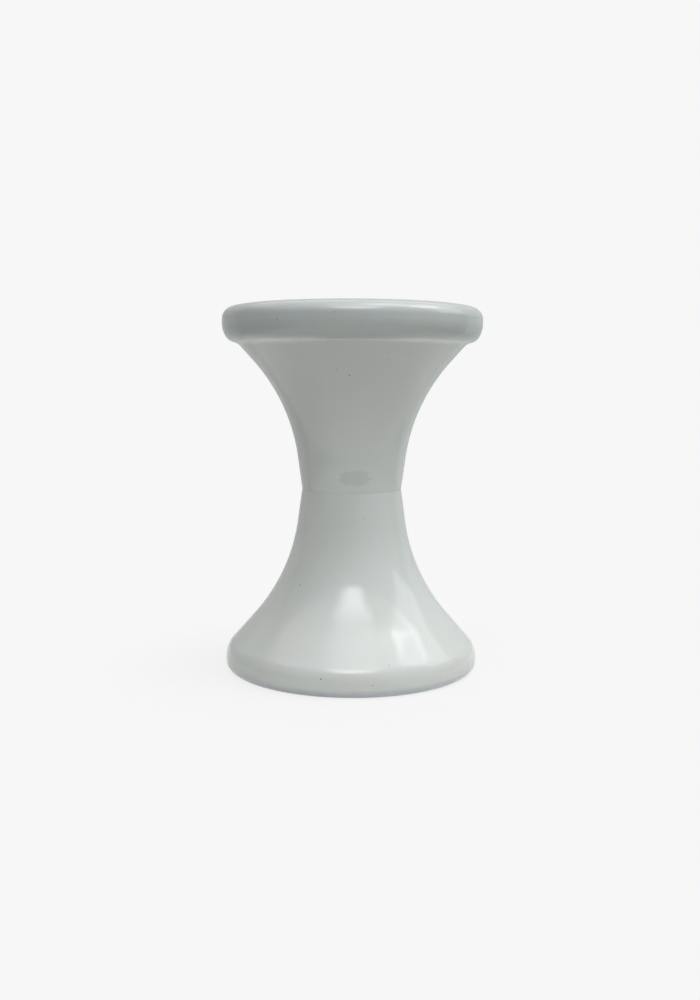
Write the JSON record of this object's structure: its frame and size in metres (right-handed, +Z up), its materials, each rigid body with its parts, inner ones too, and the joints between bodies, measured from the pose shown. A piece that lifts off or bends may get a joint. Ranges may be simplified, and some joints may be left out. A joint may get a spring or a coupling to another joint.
{
  "type": "hourglass stool",
  "caption": "Glossy moulded-plastic hourglass stool: flared trumpet shells locked waist to waist by a twist lock, with a lift-off round-edged seat lid.",
  "frame": {"origin": "centre of the foot's ring, on the floor", "axes": "+Z up the stool's axis from the foot to the seat; X and Y level, with +X through the middle of one of the lower half's hooks"},
  "size_m": [0.3208, 0.3208, 0.45],
  "materials": {
    "trumpet_plastic": "gloss",
    "seat_plastic": "gloss"
  },
  "bodies": {
    "lower_half": {"lower_trumpet": "trumpet_plastic"},
    "upper_half": {"upper_trumpet": "trumpet_plastic"},
    "seat": {"seat_lid": "seat_plastic"}
  },
  "joints": [
    {"name": "waist_turn", "type": "hinge", "parent": "lower_half", "child": "upper_half", "pos_m": [0, 0, 0.2236], "axis": [0, 0, 1], "range_deg": [0, 19]},
    {"name": "lid_lift", "type": "slide", "parent": "upper_half", "child": "seat", "axis": [0, 0, 1], "range_m": [0, 0.06]}
  ]
}
